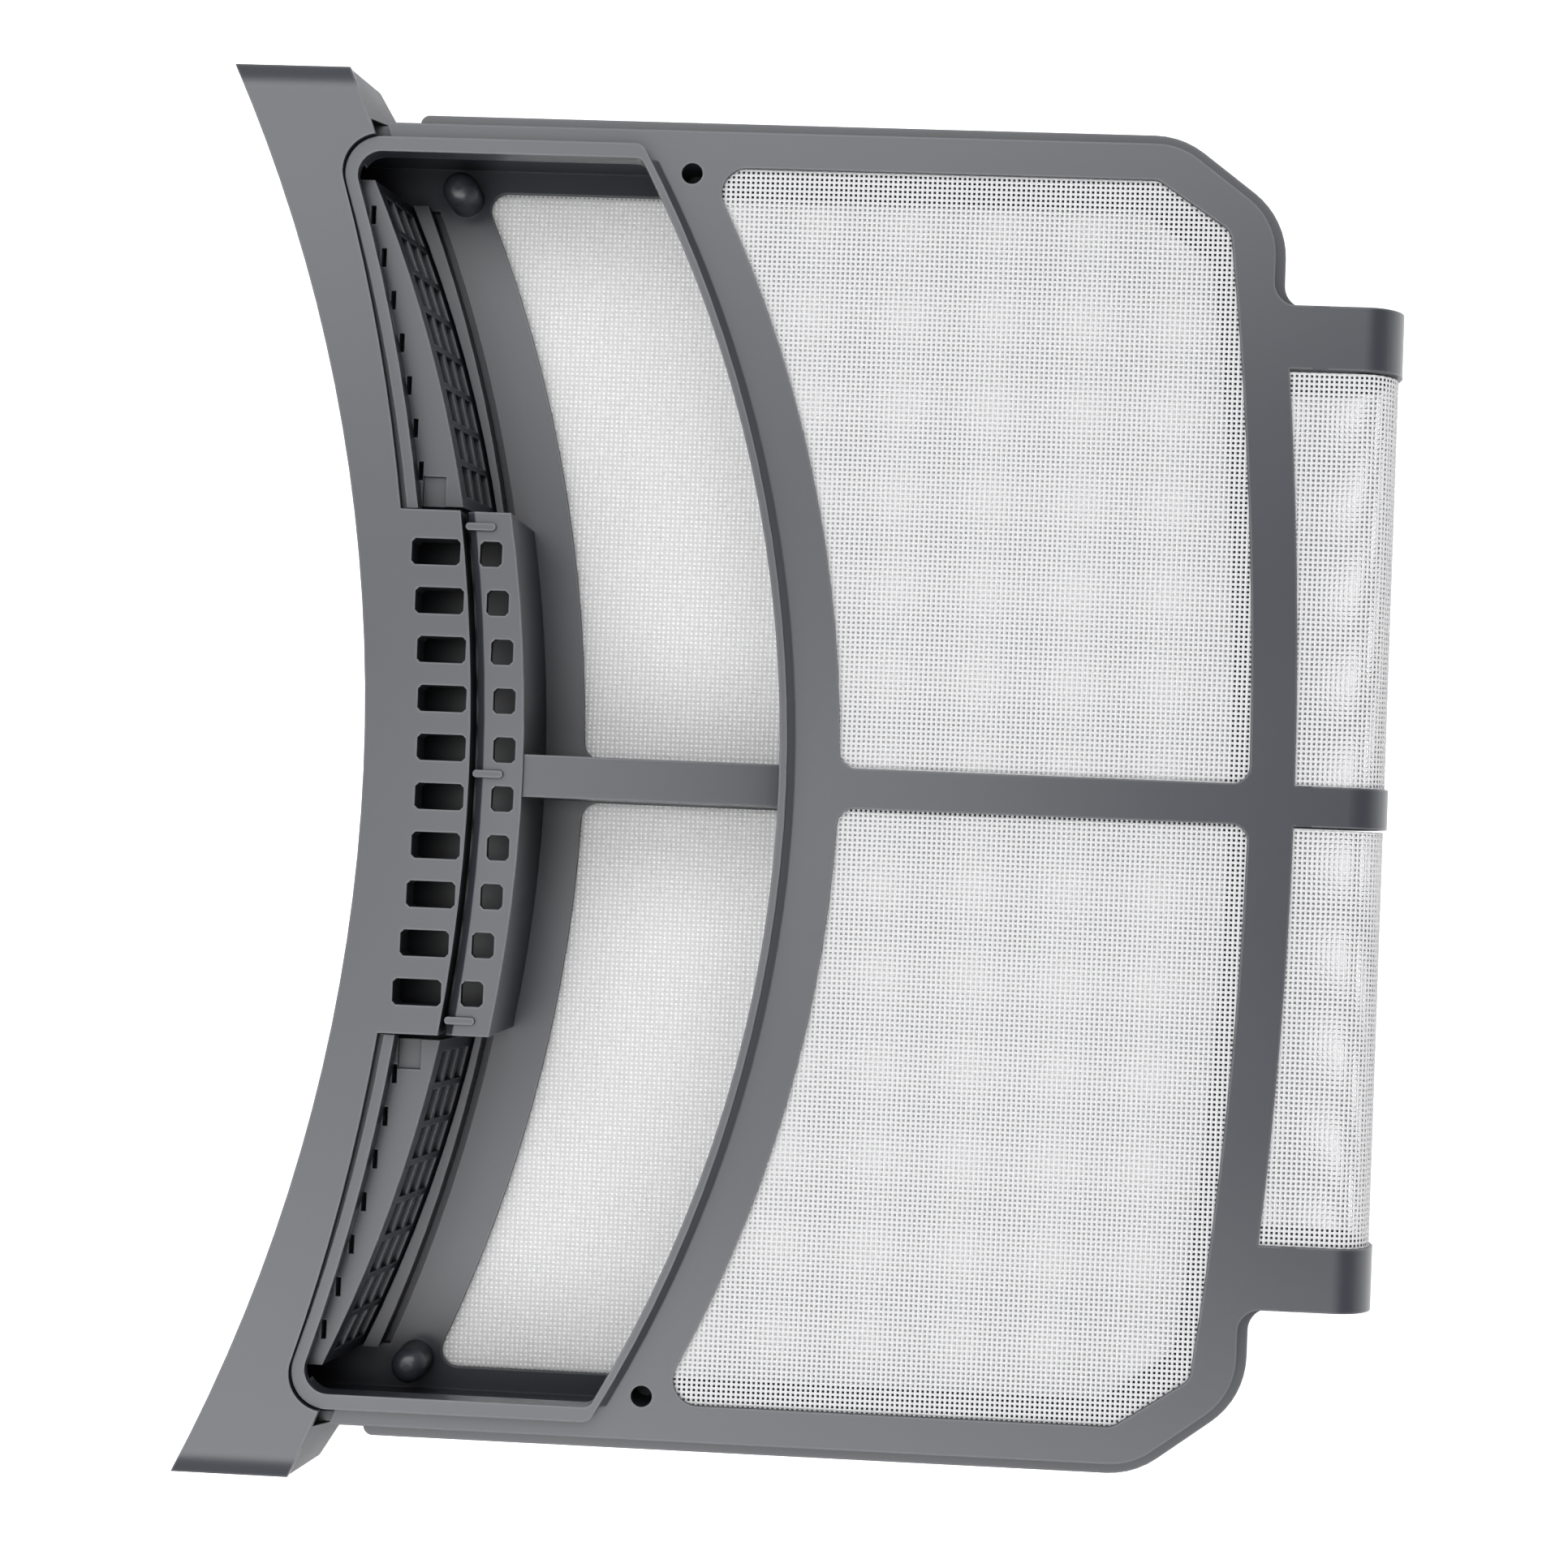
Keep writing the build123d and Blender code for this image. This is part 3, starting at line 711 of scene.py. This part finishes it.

# %% [markdown]
# The straps are thin plastic that bends when the filter opens. Their CAD shapes are
# rigid, so each one is shown as a copy with extra cuts up its height.

# %% Straps cut into steps
strap_cuts = 24
for node in ("hinge_strap_upper", "hinge_strap_centre", "hinge_strap_lower"):
    low, high = (Vector(corner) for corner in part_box(node))
    shape = bmesh.new()
    shape.from_mesh(nodes[node].data)
    bmesh.ops.remove_doubles(shape, verts=shape.verts, dist=weld_gap)
    for i in range(1, strap_cuts):
        level = low.lerp(high, i / strap_cuts)
        parts = list(shape.verts) + list(shape.edges) + list(shape.faces)
        bmesh.ops.bisect_plane(shape, geom=parts, plane_co=level, plane_no=(0, 0, 1))
    mesh = bpy.data.meshes.new(node.replace("hinge", "bending"))
    shape.to_mesh(mesh)
    shape.free()
    mesh.materials.append(grey_plastic)
    strap = bpy.data.objects.new(mesh.name, mesh)
    bpy.context.collection.objects.link(strap)
    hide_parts(node)
    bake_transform(strap)
print("Straps cut into", strap_cuts, "steps")

# %% [markdown]
# The photograph looks straight down, with the filter turned a little. The camera's
# place and lens were found by matching corners of the CAD model to the photograph.

# %% Camera
image_size = 1932
focal_pixels = 3025.6
view_distance = 0.5
view_target = Vector((-2.87, 0.71, 15.0)) * mm
view_yaw = math.radians(2.55)
view_pitch = math.radians(-1.36)
view_roll = math.radians(2.32)

back = Vector((
    math.sin(view_yaw) * math.cos(view_pitch),
    math.sin(view_pitch),
    math.cos(view_yaw) * math.cos(view_pitch),
)).normalized()
right = Vector((0, 1, 0)).cross(back).normalized()
up = back.cross(right)
turned_right = math.cos(view_roll) * right + math.sin(view_roll) * up
turned_up = math.cos(view_roll) * up - math.sin(view_roll) * right
lens = bpy.data.cameras.new("camera")
lens.sensor_fit = "HORIZONTAL"
lens.angle = 2 * math.atan(image_size / 2 / focal_pixels)
lens.clip_start = 0.01
camera = bpy.data.objects.new("camera", lens)
bpy.context.collection.objects.link(camera)
stand = Matrix((turned_right, turned_up, back)).transposed().to_4x4()
camera.matrix_world = Matrix.Translation(view_target + view_distance * back) @ stand
bpy.context.scene.camera = camera
print("Field of view", round(math.degrees(lens.angle), 1), "degrees")

# %% [markdown]
# The filter lies on a white floor that glows a little, like a light table, so that the
# ground round it stays white and the cloth is lit from below as well as from above.

# %% Floor
floor_size = 6.0
floor_white = (0.92, 0.92, 0.92, 1)
floor_roughness = 0.6
floor_glow = 0.5


def floor_finish():
    finish, wire = new_finish("white_floor")
    shader = wire.node(
        "ShaderNodeBsdfPrincipled",
        inputs={
            "Base Color": floor_white,
            "Roughness": floor_roughness,
            "Emission Color": floor_white,
            "Emission Strength": floor_glow,
        },
    )
    end_finish(wire, shader)
    return finish


half = floor_size / 2
floor = pattern_piece("floor", [(-half, -half, 0), (half, -half, 0), (half, half, 0), (-half, half, 0)])
floor.data.materials.append(floor_finish())
print("Floor of", floor_size, "m")

# %% [markdown]
# Satin plastic shows what it mirrors. Seen from above, the leaves mirror the ceiling, so
# two long soft lamps hang beyond the handle's two ends and a small one hangs over the
# middle, where the plastic is a little darker. The sky is dim overhead and bright at the
# horizon, which gives the walls their light.

# %% Light
sky_white = (1, 1, 1, 1)
sky_top = 0.064
sky_edge = 1.76
sky_falloff = 3.0


def soft_lamp(name, spot, aim, size, power):
    lamp = bpy.data.lights.new(name, "AREA")
    lamp.shape = "RECTANGLE"
    lamp.size, lamp.size_y = size
    lamp.energy = power
    holder = bpy.data.objects.new(name, lamp)
    holder.location = spot
    holder.rotation_euler = (Vector(aim) - Vector(spot)).to_track_quat("-Z", "Y").to_euler()
    bpy.context.collection.objects.link(holder)
    print(name, "of", power, "W")


def pale_sky():
    sky = bpy.data.worlds.new("sky")
    sky.use_nodes = True
    sky.node_tree.nodes.clear()
    wire = Wire(sky.node_tree)
    heading = wire.node("ShaderNodeTexCoord", output="Generated")
    height = wire.node("ShaderNodeSeparateXYZ", inputs={0: heading}, output=2)
    low_down = wire.math("POWER", wire.math("MAXIMUM", 1.0 - height, 0.0), sky_falloff)
    level = sky_top + (sky_edge - sky_top) * low_down
    glow = wire.node("ShaderNodeBackground", inputs={"Color": sky_white, "Strength": level})
    wire.node("ShaderNodeOutputWorld", inputs={"Surface": glow})
    return sky


soft_lamp("upper_softbox", spot=(-0.15, 0.58, 1.0), aim=(0, 0, 0), size=(1.5, 0.66), power=12.5)
soft_lamp("lower_softbox", spot=(-0.15, -0.54, 1.0), aim=(0, 0, 0), size=(1.5, 0.70), power=13.9)
soft_lamp("middle_softbox", spot=(-0.1, 0, 1.0), aim=(-0.1, 0, 0), size=(0.44, 0.2), power=1.41)
bpy.context.scene.world = pale_sky()
bpy.context.scene.view_settings.view_transform = "Standard"
